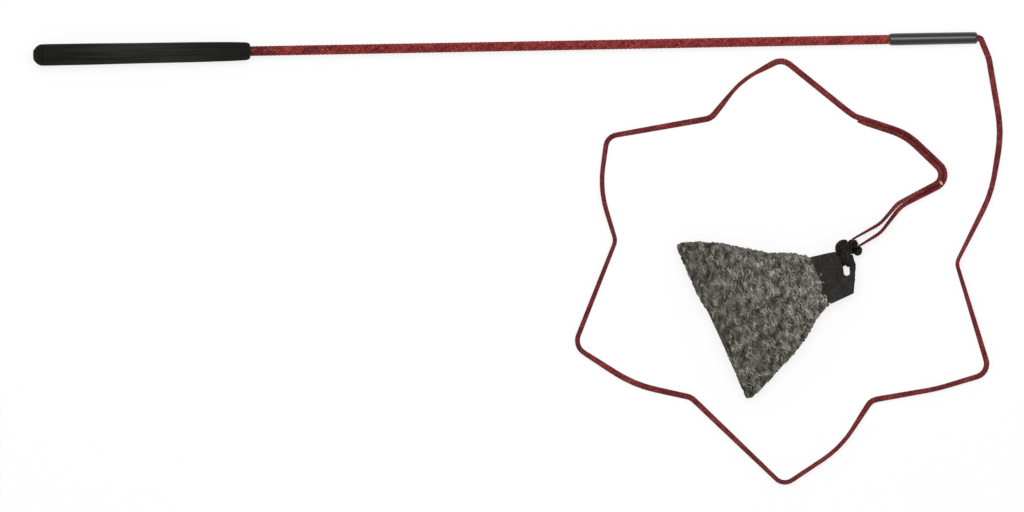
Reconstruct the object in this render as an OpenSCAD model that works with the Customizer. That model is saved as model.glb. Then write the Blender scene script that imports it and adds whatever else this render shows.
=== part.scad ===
// Flirt pole for dogs: a covered rod with a grip, a long flat lash, and a fleece lure tied on by a thong.
// It lies on a floor. The origin is the middle of the grip's butt face, +X runs along the pole and +Z is up.

/* [Pole] */
// Length from the butt face to the mouth of the ferrule
pole_len = 914; // [600:1:1200]
// Diameter of the core rod
rod_d = 7; // [6:0.1:9]
// Wall of the braided cover over the rod
cover_wall = 0.9; // [0.5:0.1:1.5]
// Free space all round between sleeves that slide over each other
fit_gap = 0.1; // [0.05:0.05:0.2]

/* [Grip] */
// Length from the butt face to the front of the grip
grip_len = 210; // [150:1:300]
// Diameter of the grip's straight stretch at the butt
grip_d = 21; // [18:0.5:30]
// Length of that straight stretch
grip_straight = 36; // [20:1:60]
// Diameter at the grip's front shoulder
grip_front_d = 18.4; // [16:0.2:20]
// Length from the shoulder to the front of the grip
shoulder_len = 22; // [14:1:40]
// Diameter where the rounded nose of the grip starts
grip_nose_d = 17; // [14:0.5:18]
// Length of the rounded nose
nose_len = 6; // [3:0.5:10]
// Thickness of the tape that holds the grip
tape_t = 0.3; // [0.2:0.1:0.6]
// Length of the butt cap that shows
cap_len = 9; // [7:0.5:14]
// Diameter of the flat face on the butt cap
cap_face_d = 9.2; // [6:0.2:12]
// Length of the plug that holds the butt cap in the grip
cap_plug = 12; // [6:1:20]

/* [Ferrule] */
// Length of the ferrule
ferrule_len = 85; // [75:1:120]
// Wall of the ferrule
ferrule_wall = 1.1; // [0.8:0.1:2]
// Length of the narrowed lip at the mouth
lip_len = 3; // [2:0.5:6]
// Length from the end of the covered rod to the mouth
lash_room = 47; // [44:1:60]
// Length of the rod's flat tang, which the lash is bound to
tang_len = 34; // [20:1:36]

/* [Lash] */
// Width of the flat braid
lash_w = 5.6; // [4:0.1:6.4]
// Thickness of the flat braid
lash_t = 2.4; // [1.6:0.1:3]
// Thickness of the thread that sews the doubled end
thread_d = 0.9; // [0.5:0.1:1.2]
// Space between those stitches
stitch_pitch = 8; // [5:1:15]

/* [Thong] */
// Thickness of the lace
lace_d = 4.2; // [3:0.1:4.4]
// Diameter of the knot
knot_d = 16; // [14:0.5:18]
// Radius of the lace's ring through the tab, on its centre line
ring_r = 7.2; // [7:0.1:9]

/* [Tab] */
// Width of the leather tab at the fleece
tab_w = 49.5; // [40:0.5:60]
// Length from the hole to the fleece
tab_len = 29; // [24:1:40]
// Thickness of one leaf of leather
leaf_t = 2.4; // [1.6:0.1:2.6]
// Width of the slotted hole for the thong
hole_w = 6.4; // [6:0.1:8]
// Distance between the round ends of the slotted hole
hole_run = 8; // [4:0.5:12]

/* [Fleece] */
// Length of the fleece from the tab to its base edge
fleece_len = 113; // [80:1:160]
// Width at the base edge
fleece_base = 168; // [110:1:200]
// Height of the crown over the middle of the lure
crown_h = 14; // [9:0.5:20]
// Thickness of each hide where it is sewn into the tab
tongue_t = 2.5; // [1.5:0.1:4]

/* [Hidden] */
$fn = 48;
eps = 0.01;
far = 400;
// Free space between pieces that move on each other, and under what just clears the floor
run_gap = 0.3;

// Radii along the pole, from the rod outwards
rod_r = rod_d / 2;
cover_r = rod_r + fit_gap + cover_wall;
tape_r = cover_r + fit_gap + tape_t;
grip_bore_r = tape_r + fit_gap;
grip_r = grip_d / 2;
ferrule_bore_r = cover_r + fit_gap;
ferrule_r = ferrule_bore_r + ferrule_wall;
lash_corner_r = norm([lash_w, lash_t]) / 2;
mouth_r = lash_corner_r + 2 * fit_gap;
binding_bore_r = max(rod_r, lash_corner_r) + fit_gap;
nose_end_r = grip_bore_r + 1.2;

// Stations along the pole from the butt face
rod_start = cap_len + cap_plug + run_gap;
ferrule_start = pole_len - ferrule_len;
cover_end = pole_len - lash_room;
tang_end = cover_end + tang_len;
tape_setback = 4;
tape_start = rod_start + tape_setback;
tape_end = grip_len - nose_len;
ferrule_edge_r = 1.2;

// The grip's straight stretch and the ferrule's mouth both lie on the floor, so the pole leans by this angle
grip_rest = cap_len + grip_straight;
ferrule_rest = pole_len - ferrule_edge_r;
lean = atan((grip_r - ferrule_r) / (ferrule_rest - grip_rest));
floor_z = -grip_rest * sin(lean) - grip_r * cos(lean);
mouth = [pole_len * cos(lean), 0, -pole_len * sin(lean)];
mouth_h = mouth[2] - floor_z;

// The thong's places, seen from above and measured from the mouth
strand_angle = 28;
knot_angle = 203;
hole_angle = -84;
lure_angle = 202.3;
eye_r = lash_corner_r + run_gap + lace_d / 2;
eye_at = [-124.2, -197.7];
knot_at = eye_at + (knot_d / 2 + 5 * run_gap) * [cos(knot_angle), sin(knot_angle)];
hole_at = knot_at + 2 * ring_r * [cos(hole_angle), sin(hole_angle)];
eye_h = eye_r + lace_d / 2 + run_gap;
knot_h = knot_d / 2;
tab_h = ring_r + lace_d / 2 + run_gap;
// Half the distance between the two strands of the loop, where it turns round through the thong's eye
bight = lash_t / 2 + lace_d / 2 + 4 * run_gap;
bight_side = bight * [-sin(strand_angle), cos(strand_angle)];
bight_lift = eye_h - lash_w / 2;
bight_bend = 0.9 * bight;

// The lash's route from the mouth, out round the star and to the loop, then back along itself.
// Each point has x, y, the radius of its bend, the roll of the flat braid, and its lift off the floor.
// The two legs of the doubled end lie like shingles, so a roll of the leg back is the leg out's, turned round.
sewn_roll = 42;
route = [
    [lash_w / 2 + run_gap, 0, 0, 0, mouth_h - lash_t / 2],
    [11, -20, 25, 0, 2.5],
    [22, -92, 120, 10, 0],
    [11, -151, 120, 30, 0],
    [-24, -217.5, 12, 52, 0],
    [6.5, -324.5, 13, 28, 0],
    [-45, -339, 150, 35, 0],
    [-109, -349, 12, 22, 0],
    [-139.5, -394.5, 100, 45, 0],
    [-195.5, -430.3, 12, 42, 0],
    [-283.3, -343, 14, 18, 0],
    [-338.5, -329.8, 120, 8, 0],
    [-395.8, -291.4, 14, 35, 0],
    [-353.6, -190, 12, 45, 0],
    [-368, -140, 100, 38, 0],
    [-360, -89, 12, 32, 0],
    [-259, -73, 14, 5, 0],
    [-229, -37, 80, 48, 0],
    [-189, -16.4, 14, 0, 0],
    [-128, -67.6, 100, 5, 0],
    [-119.5, -74, 20, 48, 0],
    [-69.5, -90.3, 60, sewn_roll, 0],
    [-23.5, -135.6, 14, 40, 0],
    [-77, -162, 30, 48, 0],
    [-97, -187, 30, 62, 2],
    [eye_at[0] - bight_side[0], eye_at[1] - bight_side[1], bight_bend, 90, bight_lift],
    [eye_at[0] + bight_side[0], eye_at[1] + bight_side[1], bight_bend, 90, bight_lift],
    [-97, -178, 30, 118, 2],
    [-79.6, -158.8, 20, 132, 0],
    [-31, -134.5, 10, 140, 0],
    [-71.8, -94, 60, 180 - sewn_roll, 0],
    [-117, -78.5, 0, 132, 0],
];
route_end = len(route) - 1;
// One step of a bend has about this angle
bend_step = 31;

// The straight runs where the two legs of the doubled end are sewn to each other, from the mouth
sewn_runs = [
    [[-106, -80], [-80.5, -88.8]],
    [[-66.7, -96], [-41.8, -120.6]],
    [[-42.4, -142.5], [-67.5, -154.9]],
];
stitch_len = 9.2;

// The lure's own frame has its origin in the hole, u towards the base edge and w across
slot_half = tongue_t + run_gap;
mouth_half = slot_half + leaf_t;
leaves_part = 10;
leaves_splay = 8;
leaves_open = leaves_part + leaves_splay;
tab_off = 5.8;
hole_lean = 67;
tab_low = tab_off - tab_w / 2;
tab_high = tab_off + tab_w / 2;
tab_outline = [
    [-9.4, -4.2],
    [6, -14.5],
    [tab_len, tab_low],
    [tab_len, tab_high],
    [4.5, tab_high - 0.6],
    [-6.8, 8.7],
];
// The corner of the tab swings round the hole past the knot, and so does a short stretch of the edge beside it
swing_edge = 3;
tab_reach = norm(tab_outline[1]) + swing_edge;
tab_stitch_u = tab_len - 3.5;
tab_stitch_pitch = 5;
tab_stitch_len = 3.4;

// The fleece's stations, as distances from the tab's edge
side_swell = 4.3;
side_dent = 2.5;
corner_r = 7;
base_h = 8;
tongue_len = 6;
shoulder = run_gap;
fleece_end = fleece_len - 0.5;
fleece_stations = concat(
    [-tongue_len, shoulder / 3, shoulder],
    [for (share = [0.05, 0.12, 0.22, 0.34, 0.46, 0.58, 0.7, 0.8]) share * (fleece_len - corner_r)],
    [for (turn = [0, 30, 52, 72]) fleece_len - corner_r + corner_r * sin(turn)],
    [fleece_end]
);
section_steps = 16;

// Turns a shape built along +Z into one that lies along the pole
module along_pole() {
    rotate([0, 90 + lean, 0]) children();
}

// A tube along the pole
module sleeve(start, end, outer_r, inner_r) {
    along_pole() translate([0, 0, start]) difference() {
        cylinder(h = end - start, r = outer_r);
        translate([0, 0, -1]) cylinder(h = end - start + 2, r = inner_r);
    }
}

// A ring of lace about the Z axis
module lace_ring(radius) {
    rotate_extrude() translate([radius, 0]) circle(d = lace_d);
}

// Skin round a list of rings. Each ring goes clockwise as seen from before the first one.
module skin(rings) {
    count = len(rings[0]);
    last = len(rings) - 1;
    polyhedron(
        points = [for (ring = rings, point = ring) point],
        faces = concat(
            [for (k = [1 : count - 2]) [0, k, k + 1]],
            [for (i = [0 : last - 1], k = [0 : count - 1])
                [i * count + k, (i + 1) * count + k, (i + 1) * count + (k + 1) % count]],
            [for (i = [0 : last - 1], k = [0 : count - 1])
                [i * count + k, (i + 1) * count + (k + 1) % count, i * count + (k + 1) % count]],
            [for (k = [1 : count - 2]) [last * count, last * count + k + 1, last * count + k]]
        )
    );
}

// Plan of the route: headings, turns and bends at its points
function plan(i) = [route[i][0], route[i][1]];
function heading(a, b) = atan2(b[1] - a[1], b[0] - a[0]);
function wrap(angle) = angle > 180 ? angle - 360 : angle < -180 ? angle + 360 : angle;
function heading_in(i) = heading(plan(i - 1), plan(i));
function turn_at(i) = wrap(heading(plan(i), plan(i + 1)) - heading_in(i));
function bend_start(i) =
    plan(i) - route[i][2] * tan(abs(turn_at(i)) / 2) * [cos(heading_in(i)), sin(heading_in(i))];
function bend_point(i, angle) =
    let (side = sign(turn_at(i)), h = heading_in(i), r = route[i][2])
    bend_start(i) + r * sin(angle) * [cos(h), sin(h)] + side * r * (1 - cos(angle)) * [-sin(h), cos(h)];

// The braid's flat section has eight sides
function braid_section(width) = [for (k = [0 : 7])
    [width / 2 * cos(k * 45 + 22.5), lash_t / 2 * sin(k * 45 + 22.5)] / cos(22.5)];
function half_height(roll) = max([for (p = braid_section(lash_w)) p[0] * sin(roll) + p[1] * cos(roll)]);

// One ring of the braid at a place on the plan
function braid_ring(at, toward, roll, lift, width) =
    let (z = floor_z + lift + half_height(roll))
    [for (p = braid_section(width))
        let (across = p[0] * cos(roll) - p[1] * sin(roll))
        [mouth[0] + at[0] - across * sin(toward), at[1] + across * cos(toward),
            z + p[0] * sin(roll) + p[1] * cos(roll)]];

// The rounded start, which turns on an upright axis at the mouth
start_heading = heading(plan(0), plan(1));
start_rings = [for (turn = [15, 45, 90])
    braid_ring(plan(0) - lash_w / 2 * cos(turn) * [cos(start_heading), sin(start_heading)],
        start_heading, route[0][3], route[0][4], lash_w * sin(turn))];
bend_rings = [for (i = [1 : route_end - 1])
    let (steps = max(1, round(abs(turn_at(i)) / bend_step)))
    for (k = [0 : steps])
        let (angle = turn_at(i) * k / steps)
        braid_ring(bend_point(i, abs(angle)), heading_in(i) + angle, route[i][3], route[i][4], lash_w)];
end_ring = braid_ring(plan(route_end), heading_in(route_end), route[route_end][3], route[route_end][4], lash_w);

module core_rod() {
    color("Wheat") along_pole() difference() {
        translate([0, 0, rod_start]) cylinder(h = tang_end - rod_start, r = rod_r);
        translate([-far + lash_t / 2 + fit_gap, -far / 2, cover_end]) cube(far);
    }
}

module shaft_cover() {
    color("Firebrick") sleeve(rod_start, cover_end, cover_r, rod_r + fit_gap);
}

module grip() {
    nose_start = grip_len - nose_len;
    nose = [for (turn = [0 : 15 : 90])
        [nose_end_r + (grip_nose_d / 2 - nose_end_r) * cos(turn), nose_start + nose_len * sin(turn)]];
    color("DimGray") along_pole() rotate_extrude() polygon(concat(
        [[grip_bore_r, cap_len], [grip_r, cap_len], [grip_r, grip_rest]],
        [[grip_front_d / 2, grip_len - shoulder_len]],
        nose,
        [[grip_bore_r, grip_len]]
    ));
}

module grip_tape() {
    color("Ivory") sleeve(tape_start, tape_end, tape_r, cover_r + fit_gap);
}

module butt_cap() {
    rim = 2;
    color("DarkSlateGray") along_pole() rotate_extrude() polygon([
        [0, 0],
        [cap_face_d / 2, 0],
        [grip_r - 1.2, cap_len - 2 * rim],
        [grip_r - 0.3, cap_len - rim],
        [grip_r, cap_len],
        [grip_bore_r - fit_gap, cap_len],
        [grip_bore_r - fit_gap, cap_len + cap_plug],
        [0, cap_len + cap_plug],
    ]);
}

module ferrule() {
    color("Black") along_pole() rotate_extrude() polygon([
        [ferrule_bore_r, ferrule_start],
        [ferrule_r - ferrule_edge_r / 2, ferrule_start],
        [ferrule_r, ferrule_start + ferrule_edge_r],
        [ferrule_r, ferrule_rest],
        [ferrule_r - ferrule_edge_r / 2, pole_len],
        [mouth_r, pole_len],
        [mouth_r, pole_len - lip_len],
        [ferrule_bore_r, pole_len - lip_len],
    ]);
}

module lash_binding() {
    color("DarkRed") sleeve(cover_end + 2, tang_end - 2, ferrule_bore_r - fit_gap, binding_bore_r);
}

module lash_tail() {
    tail_start = cover_end + 1;
    color("Brown") along_pole() translate([-lash_t / 2, -lash_w / 2, tail_start])
        cube([lash_t, lash_w, pole_len - tail_start]);
}

module lash() {
    color("Brown") skin(concat(start_rings, bend_rings, [end_ring]));
}

module loop_stitches() {
    color("DarkRed") for (run = sewn_runs) {
        run_len = norm(run[1] - run[0]);
        for (s = [0 : stitch_pitch : run_len]) {
            at = run[0] + (run[1] - run[0]) * s / run_len;
            translate([mouth[0] + at[0], at[1], floor_z + half_height(sewn_roll)])
                rotate([90, 0, heading(run[0], run[1])])
                    cylinder(h = stitch_len, d = thread_d, center = true);
        }
    }
}

// Puts a shape at a place on the plan, at a height over the floor
module place(at, height) {
    translate([mouth[0] + at[0], at[1], floor_z + height]) children();
}

// The knot, a ball of wraps
module knot() {
    place(knot_at, knot_h) {
        sphere(r = knot_h - 1.2);
        rotate([20, 15, 0]) lace_ring(knot_h - lace_d / 2);
        rotate([75, 0, knot_angle]) lace_ring(knot_h - lace_d / 2);
    }
}

// The knot's smaller lobe beside the loop's lower strand, and the lace that runs to it under the strand
module lobe() {
    lobe_at = eye_at - 1.65 * bight_side + [cos(strand_angle), sin(strand_angle)];
    run = lobe_at - knot_at;
    under_d = 0.75 * lace_d;
    place(lobe_at, 1.4 * lace_d) sphere(r = 1.1 * lace_d);
    place(knot_at, under_d / 2 + run_gap) rotate([0, 90, heading(knot_at, lobe_at)])
        cylinder(h = norm(run), d = under_d);
}

// Room for the loop's two strands, which come in level and turn up over the knot as the lure is lifted
module strand_room() {
    half = lash_t / 2 + 2 * run_gap;
    back = lash_corner_r + 1.2 * run_gap;
    under = lash_corner_r + 3.5 * run_gap;
    for (side = [-1, 1]) place(eye_at + side * bight_side, eye_h) rotate(strand_angle)
        translate([-back, -half, -under]) cube([far, 2 * half, far]);
}

module thong() {
    color("DarkSlateGray") difference() {
        union() {
            difference() {
                knot();
                place(hole_at, tab_h - leaf_t - run_gap)
                    cylinder(h = 2 * (leaf_t + run_gap), r = tab_reach + run_gap);
            }
            lobe();
            place(hole_at, tab_h) rotate([90, 0, hole_angle])
                translate([-ring_r, 0, 0]) lace_ring(ring_r);
            place(eye_at, eye_h) rotate([90, 0, strand_angle]) lace_ring(eye_r);
        }
        place(eye_at, eye_h) rotate([90, 0, strand_angle])
            cylinder(h = knot_d, r = lash_corner_r + 1.2 * run_gap, center = true);
        strand_room();
    }
}

// Puts a shape of the lure's own frame in its place
module on_lure() {
    place(hole_at, tab_h) rotate(lure_angle) children();
}

module tab() {
    side = [
        [-far, leaf_t],
        [leaves_part, leaf_t],
        [leaves_open, mouth_half],
        [tab_len + far, mouth_half],
        [tab_len + far, slot_half],
        [leaves_open, slot_half],
        [leaves_part, 0],
    ];
    both = concat(side, [for (i = [len(side) - 2 : -1 : 0]) [side[i][0], -side[i][1]]]);
    color("Black") on_lure() difference() {
        intersection() {
            linear_extrude(height = far, center = true) polygon(tab_outline);
            rotate([90, 0, 0]) linear_extrude(height = far, center = true) polygon(both);
        }
        cylinder(h = far, d = hole_w, center = true);
        rotate(hole_lean) {
            translate([hole_run, 0, 0]) cylinder(h = far, d = hole_w, center = true);
            translate([0, -hole_w / 2, -far / 2]) cube([hole_run, hole_w, far]);
        }
    }
}

module tab_stitches() {
    first = tab_low + 4;
    color("DimGray") on_lure() for (w = [first : tab_stitch_pitch : tab_high - 4]) {
        translate([tab_stitch_u, w, 0]) cylinder(h = 2 * mouth_half, d = thread_d, center = true);
        for (face = [-1, 1]) translate([tab_stitch_u, w, face * mouth_half])
            rotate([90, 0, 0]) cylinder(h = tab_stitch_len, d = thread_d, center = true);
    }
}

// Half width, crown and middle of the fleece at a station
function rounding(s) = s > fleece_len - corner_r
    ? sqrt(max(0, 1 - pow((s - fleece_len + corner_r) / corner_r, 2))) : 1;
function fleece_half(s) =
    let (share = max(0, s) / fleece_len)
    s < shoulder ? tab_w / 2 - 2
        : tab_w / 2 + (fleece_base - tab_w) / 2 * share + side_swell * sin(180 * pow(share, 1.6))
            - corner_r * (1 - rounding(s));
function swell(share) = share < 0.4 ? sin(90 * share / 0.4) : cos(60 * (share - 0.4) / 0.6);
function fleece_top(s) = s < shoulder ? tongue_t
    : (mouth_half + 0.6 + (crown_h - mouth_half - 0.6) * swell(s / fleece_len)) * max(0.15, rounding(s));
function fleece_under(s) = s < shoulder ? tongue_t
    : (mouth_half + 0.6 + (tab_h + 2 - mouth_half) * swell(s / fleece_len)) * max(0.15, rounding(s));
function fleece_mid(s) =
    let (share = max(0, s) / fleece_len)
    tab_off * (1 - share) + side_dent * sin(180 * min(1, share / 0.65));

// The front hide crowns up from the middle plane, and the back one lies flat on the floor
function front_ring(s) = [for (k = [0 : section_steps])
    let (a = 180 * k / section_steps)
    [tab_len + s, fleece_mid(s) + fleece_half(s) * cos(a), fleece_top(s) * pow(sin(a), 0.7)]];
function back_ring(s) = [for (k = [0 : section_steps])
    let (a = 180 * k / section_steps)
    [tab_len + s, fleece_mid(s) - fleece_half(s) * cos(a), -min(fleece_under(s) * pow(sin(a), 0.7), tab_h)]];

module fleece_front() {
    color("Gray") on_lure() skin([for (s = fleece_stations) front_ring(s)]);
}

module fleece_back() {
    color("SlateGray") on_lure() skin([for (s = fleece_stations) back_ring(s)]);
}

core_rod();
shaft_cover();
grip();
grip_tape();
butt_cap();
ferrule();
lash_binding();
lash_tail();
lash();
loop_stitches();
thong();
tab();
tab_stitches();
fleece_front();
fleece_back();
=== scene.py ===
"""Looks of the dog flirt pole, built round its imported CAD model."""

import math
import random

import bpy
import numpy as np
from mathutils import Matrix, Vector


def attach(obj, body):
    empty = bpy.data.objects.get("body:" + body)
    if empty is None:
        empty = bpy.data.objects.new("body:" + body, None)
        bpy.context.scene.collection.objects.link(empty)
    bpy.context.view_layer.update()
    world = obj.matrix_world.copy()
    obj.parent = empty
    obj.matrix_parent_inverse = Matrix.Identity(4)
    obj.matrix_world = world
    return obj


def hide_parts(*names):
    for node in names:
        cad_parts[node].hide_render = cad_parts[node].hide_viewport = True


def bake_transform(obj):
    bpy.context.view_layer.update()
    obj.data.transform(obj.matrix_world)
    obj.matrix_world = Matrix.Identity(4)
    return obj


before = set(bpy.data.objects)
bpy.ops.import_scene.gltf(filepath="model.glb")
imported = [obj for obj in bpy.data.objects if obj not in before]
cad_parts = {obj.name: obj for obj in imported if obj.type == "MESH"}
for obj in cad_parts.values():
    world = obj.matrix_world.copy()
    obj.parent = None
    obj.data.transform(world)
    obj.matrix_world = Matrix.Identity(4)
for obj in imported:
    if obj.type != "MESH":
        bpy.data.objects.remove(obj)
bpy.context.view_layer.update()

# Sizes in metres, as in the part's source
POLE_LEN = 0.914
GRIP_LEN = 0.210
GRIP_R = 0.0105
CAP_LEN = 0.009
COVER_R = 0.0045
FERRULE_LEN = 0.085
FERRULE_R = 0.0057
GRIP_REST = 0.045
FERRULE_REST = POLE_LEN - 0.0012
LASH_W = 0.0056
LASH_T = 0.0024
LACE_D = 0.0042
KNOT_R = 0.008
RING_R = 0.0072
RUN_GAP = 0.0003
LEAF_T = 0.0024
# How far the tab's edge beside the knot reaches from the hole
SWING_R = 0.0187

LEAN = math.atan((GRIP_R - FERRULE_R) / (FERRULE_REST - GRIP_REST))
FLOOR_Z = -GRIP_REST * math.sin(LEAN) - GRIP_R * math.cos(LEAN)
MOUTH = Vector((POLE_LEN * math.cos(LEAN), 0, -POLE_LEN * math.sin(LEAN)))
# Turns a piece modelled along +Z into one along the leaning pole
POLE_TURN = Matrix.Rotation(math.pi / 2 + LEAN, 4, "Y")


# The camera looks straight down from high above and is turned a little, as the photograph is
CAMERA_ROLL = math.radians(1.056)
PIXEL = 0.0009678
IMAGE_W = 1024
LENS_MM = 400
SENSOR_MM = 36
VIEW_CENTRE = (0.4597, -0.2029)


def add_camera():
    data = bpy.data.cameras.new("camera")
    data.sensor_width = SENSOR_MM
    data.lens = LENS_MM
    data.clip_end = 50
    camera = bpy.data.objects.new("camera", data)
    height = PIXEL * IMAGE_W * LENS_MM / SENSOR_MM
    camera.location = (VIEW_CENTRE[0], VIEW_CENTRE[1], height)
    camera.rotation_euler = (0, 0, -CAMERA_ROLL)
    bpy.context.scene.collection.objects.link(camera)
    bpy.context.scene.camera = camera


# Materials

def srgb(red, green, blue):
    """A colour as it is seen, from 0 to 255, in the shader's linear numbers."""
    def linear(value):
        share = value / 255
        return share / 12.92 if share <= 0.04045 else ((share + 0.055) / 1.055) ** 2.4
    return linear(red), linear(green), linear(blue), 1.0


class Value:
    """A node's output, with arithmetic that adds Math nodes."""

    def __init__(self, paint, socket):
        self.paint = paint
        self.socket = socket

    def __add__(self, other):
        return self.paint.math("ADD", self, other)

    def __radd__(self, other):
        return self.paint.math("ADD", other, self)

    def __sub__(self, other):
        return self.paint.math("SUBTRACT", self, other)

    def __mul__(self, other):
        return self.paint.math("MULTIPLY", self, other)

    def __rmul__(self, other):
        return self.paint.math("MULTIPLY", other, self)


class Paint:
    """One material under construction: its node tree and its shader."""

    def __init__(self, name, **constants):
        self.material = bpy.data.materials.new(name)
        self.material.use_nodes = True
        self.tree = self.material.node_tree
        self.shader = self.tree.nodes["Principled BSDF"]
        for socket, value in constants.items():
            self.shader.inputs[socket.replace("_", " ")].default_value = value

    def node(self, kind, settings=None, inputs=None, out=0):
        node = self.tree.nodes.new(kind)
        for key, value in (settings or {}).items():
            if key == "stops":
                self.set_stops(node.color_ramp, value)
            else:
                setattr(node, key, value)
        for key, value in (inputs or {}).items():
            self.feed(node.inputs[key], value)
        return Value(self, node.outputs[out])

    def set_stops(self, ramp, stops):
        while len(ramp.elements) < len(stops):
            ramp.elements.new(0.5)
        for element, (place, colour) in zip(ramp.elements, stops):
            element.position = place
            element.color = colour

    def feed(self, socket, value):
        if isinstance(value, Value):
            self.tree.links.new(value.socket, socket)
        else:
            socket.default_value = value

    def math(self, operation, a, b):
        return self.node("ShaderNodeMath", {"operation": operation}, {0: a, 1: b})

    def clamp(self, value):
        return self.node("ShaderNodeClamp", {}, {0: value})

    def mix(self, share, a, b):
        return self.node("ShaderNodeMix", {"data_type": "RGBA"}, {0: share, 6: a, 7: b}, out=2)

    def ramp(self, value, stops):
        return self.node("ShaderNodeValToRGB", {"stops": stops}, {0: value})

    def coords(self, scale=(1, 1, 1)):
        place = self.node("ShaderNodeTexCoord", out="Object")
        return self.node("ShaderNodeVectorMath", {"operation": "MULTIPLY"}, {0: place, 1: scale})

    def strand_uv(self, scale=(1, 1, 1)):
        place = self.node("ShaderNodeUVMap", {"uv_map": "strand"})
        return self.node("ShaderNodeVectorMath", {"operation": "MULTIPLY"}, {0: place, 1: scale})

    def tone(self, name="tone"):
        return self.node("ShaderNodeAttribute", {"attribute_name": name}, out="Fac")

    def noise(self, vector, scale, detail=3, roughness=0.5):
        return self.node("ShaderNodeTexNoise", {}, {
            "Vector": vector, "Scale": scale, "Detail": detail, "Roughness": roughness})

    def cells(self, vector, scale, feature="F1"):
        return self.node("ShaderNodeTexVoronoi", {"feature": feature}, {"Vector": vector, "Scale": scale})

    def bump(self, height, distance, strength=1.0):
        normal = self.node("ShaderNodeBump", {}, {
            "Height": height, "Distance": distance, "Strength": strength})
        self.feed(self.shader.inputs["Normal"], normal)

    def colour(self, value):
        self.feed(self.shader.inputs["Base Color"], value)

    def roughness(self, value):
        self.feed(self.shader.inputs["Roughness"], value)

    def add_glow(self, share):
        """Mixes the shader with a white glow."""
        plain = Value(self, self.shader.outputs["BSDF"])
        glow = self.node("ShaderNodeEmission", out="Emission")
        both = self.node("ShaderNodeMixShader", {}, {0: share, 1: plain, 2: glow}, out="Shader")
        self.feed(self.tree.nodes["Material Output"].inputs["Surface"], both)


def braid_paint(name, shades, fleck, thread_count):
    """Braided yarn: each strand has its own tone, with fine threads along it and flecks of another colour."""
    paint = Paint(name, Specular_IOR_Level=0.25)
    threads = paint.noise(paint.strand_uv((160, thread_count, 1)), 1.0, 2)
    mottle = paint.noise(paint.coords(), 260, 2)
    patches = paint.noise(paint.coords(), 75, 2)
    level = paint.clamp(paint.tone() * 0.55 + threads * 0.35 + mottle * 0.5 + patches * 0.7 - 0.55)
    dark, middle, light = shades
    yarn = paint.ramp(level, [(0.1, dark), (0.5, middle), (0.9, light)])
    spots = paint.noise(paint.coords(), 520, 1)
    share = paint.node("ShaderNodeMapRange", {}, {0: spots, 1: 0.62, 2: 0.72, 3: 0.0, 4: 0.6})
    paint.colour(paint.mix(share, yarn, fleck))
    paint.roughness(0.62 + 0.25 * threads)
    paint.bump(threads, 0.0003, 0.6)
    return paint.material


def cover_paint():
    shades = (srgb(84, 22, 24), srgb(140, 44, 44), srgb(176, 72, 62))
    return braid_paint("red_cover_yarn", shades, srgb(196, 110, 84), 3)


def lash_paint():
    shades = (srgb(66, 12, 17), srgb(112, 33, 37), srgb(154, 66, 66))
    return braid_paint("dark_red_lash_yarn", shades, srgb(58, 24, 24), 3)


def grip_paint(name):
    """Matte black rubber with faint streaks along the pole and a little dust."""
    paint = Paint(name, Specular_IOR_Level=0.1)
    streaks = paint.noise(paint.coords((14, 420, 420)), 1.0, 4)
    dust = paint.noise(paint.coords(), 900, 3)
    # It is palest in the middle of the grip
    along = paint.node("ShaderNodeSeparateXYZ", {}, {0: paint.coords()}, out="X")
    off = paint.math("ABSOLUTE", along - GRIP_LEN / 2, 0)
    paler_middle = paint.node("ShaderNodeMapRange", {}, {0: off, 1: 0.02, 2: 0.08, 3: 0.2, 4: 0.0})
    level = paint.clamp(streaks * 0.8 + dust * 0.2 + paler_middle)
    blacks = [(0.3, srgb(13, 13, 12)), (0.55, srgb(25, 25, 23)), (0.8, srgb(44, 44, 43))]
    paint.colour(paint.ramp(level, blacks))
    paint.roughness(0.6 + 0.3 * dust)
    paint.bump(streaks * 0.7 + dust * 0.3, 0.0004, 0.5)
    return paint.material


def sleeve_paint():
    """Glossy black shrink sleeve, a little uneven over what it holds."""
    paint = Paint("glossy_black_sleeve", Specular_IOR_Level=0.85)
    waves = paint.noise(paint.coords((60, 160, 160)), 1.0, 2)
    marks = paint.noise(paint.coords((80, 1500, 1500)), 1.0, 2)
    paint.colour(paint.ramp(waves, [(0.3, srgb(10, 10, 10)), (0.7, srgb(17, 17, 17))]))
    paint.roughness(0.2 + 0.14 * marks)
    paint.bump(waves, 0.0004, 0.25)
    return paint.material


def leather_paint(name, dark, middle, worn_and_sheen, grain_scale):
    """Leather with a pebbled grain, with painted shade in its creases and, on its raised folds, wear and a
    painted sheen.
    """
    paint = Paint(name, Specular_IOR_Level=0.12)
    grain = paint.cells(paint.coords(), grain_scale)
    folds = paint.noise(paint.coords(), grain_scale / 6, 4)
    level = paint.clamp(folds * 0.7 + grain * 0.4)
    # Low creased places take the dark colour as painted shade; the raised folds take the pale one, partly
    # wear and partly a painted sheen
    paint.colour(paint.ramp(level, [(0.25, dark), (0.55, middle), (0.85, worn_and_sheen)]))
    paint.roughness(0.42 + 0.3 * folds)
    paint.bump(grain * 0.5 + folds * 0.5, 0.0005, 0.6)
    return paint.material


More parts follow.
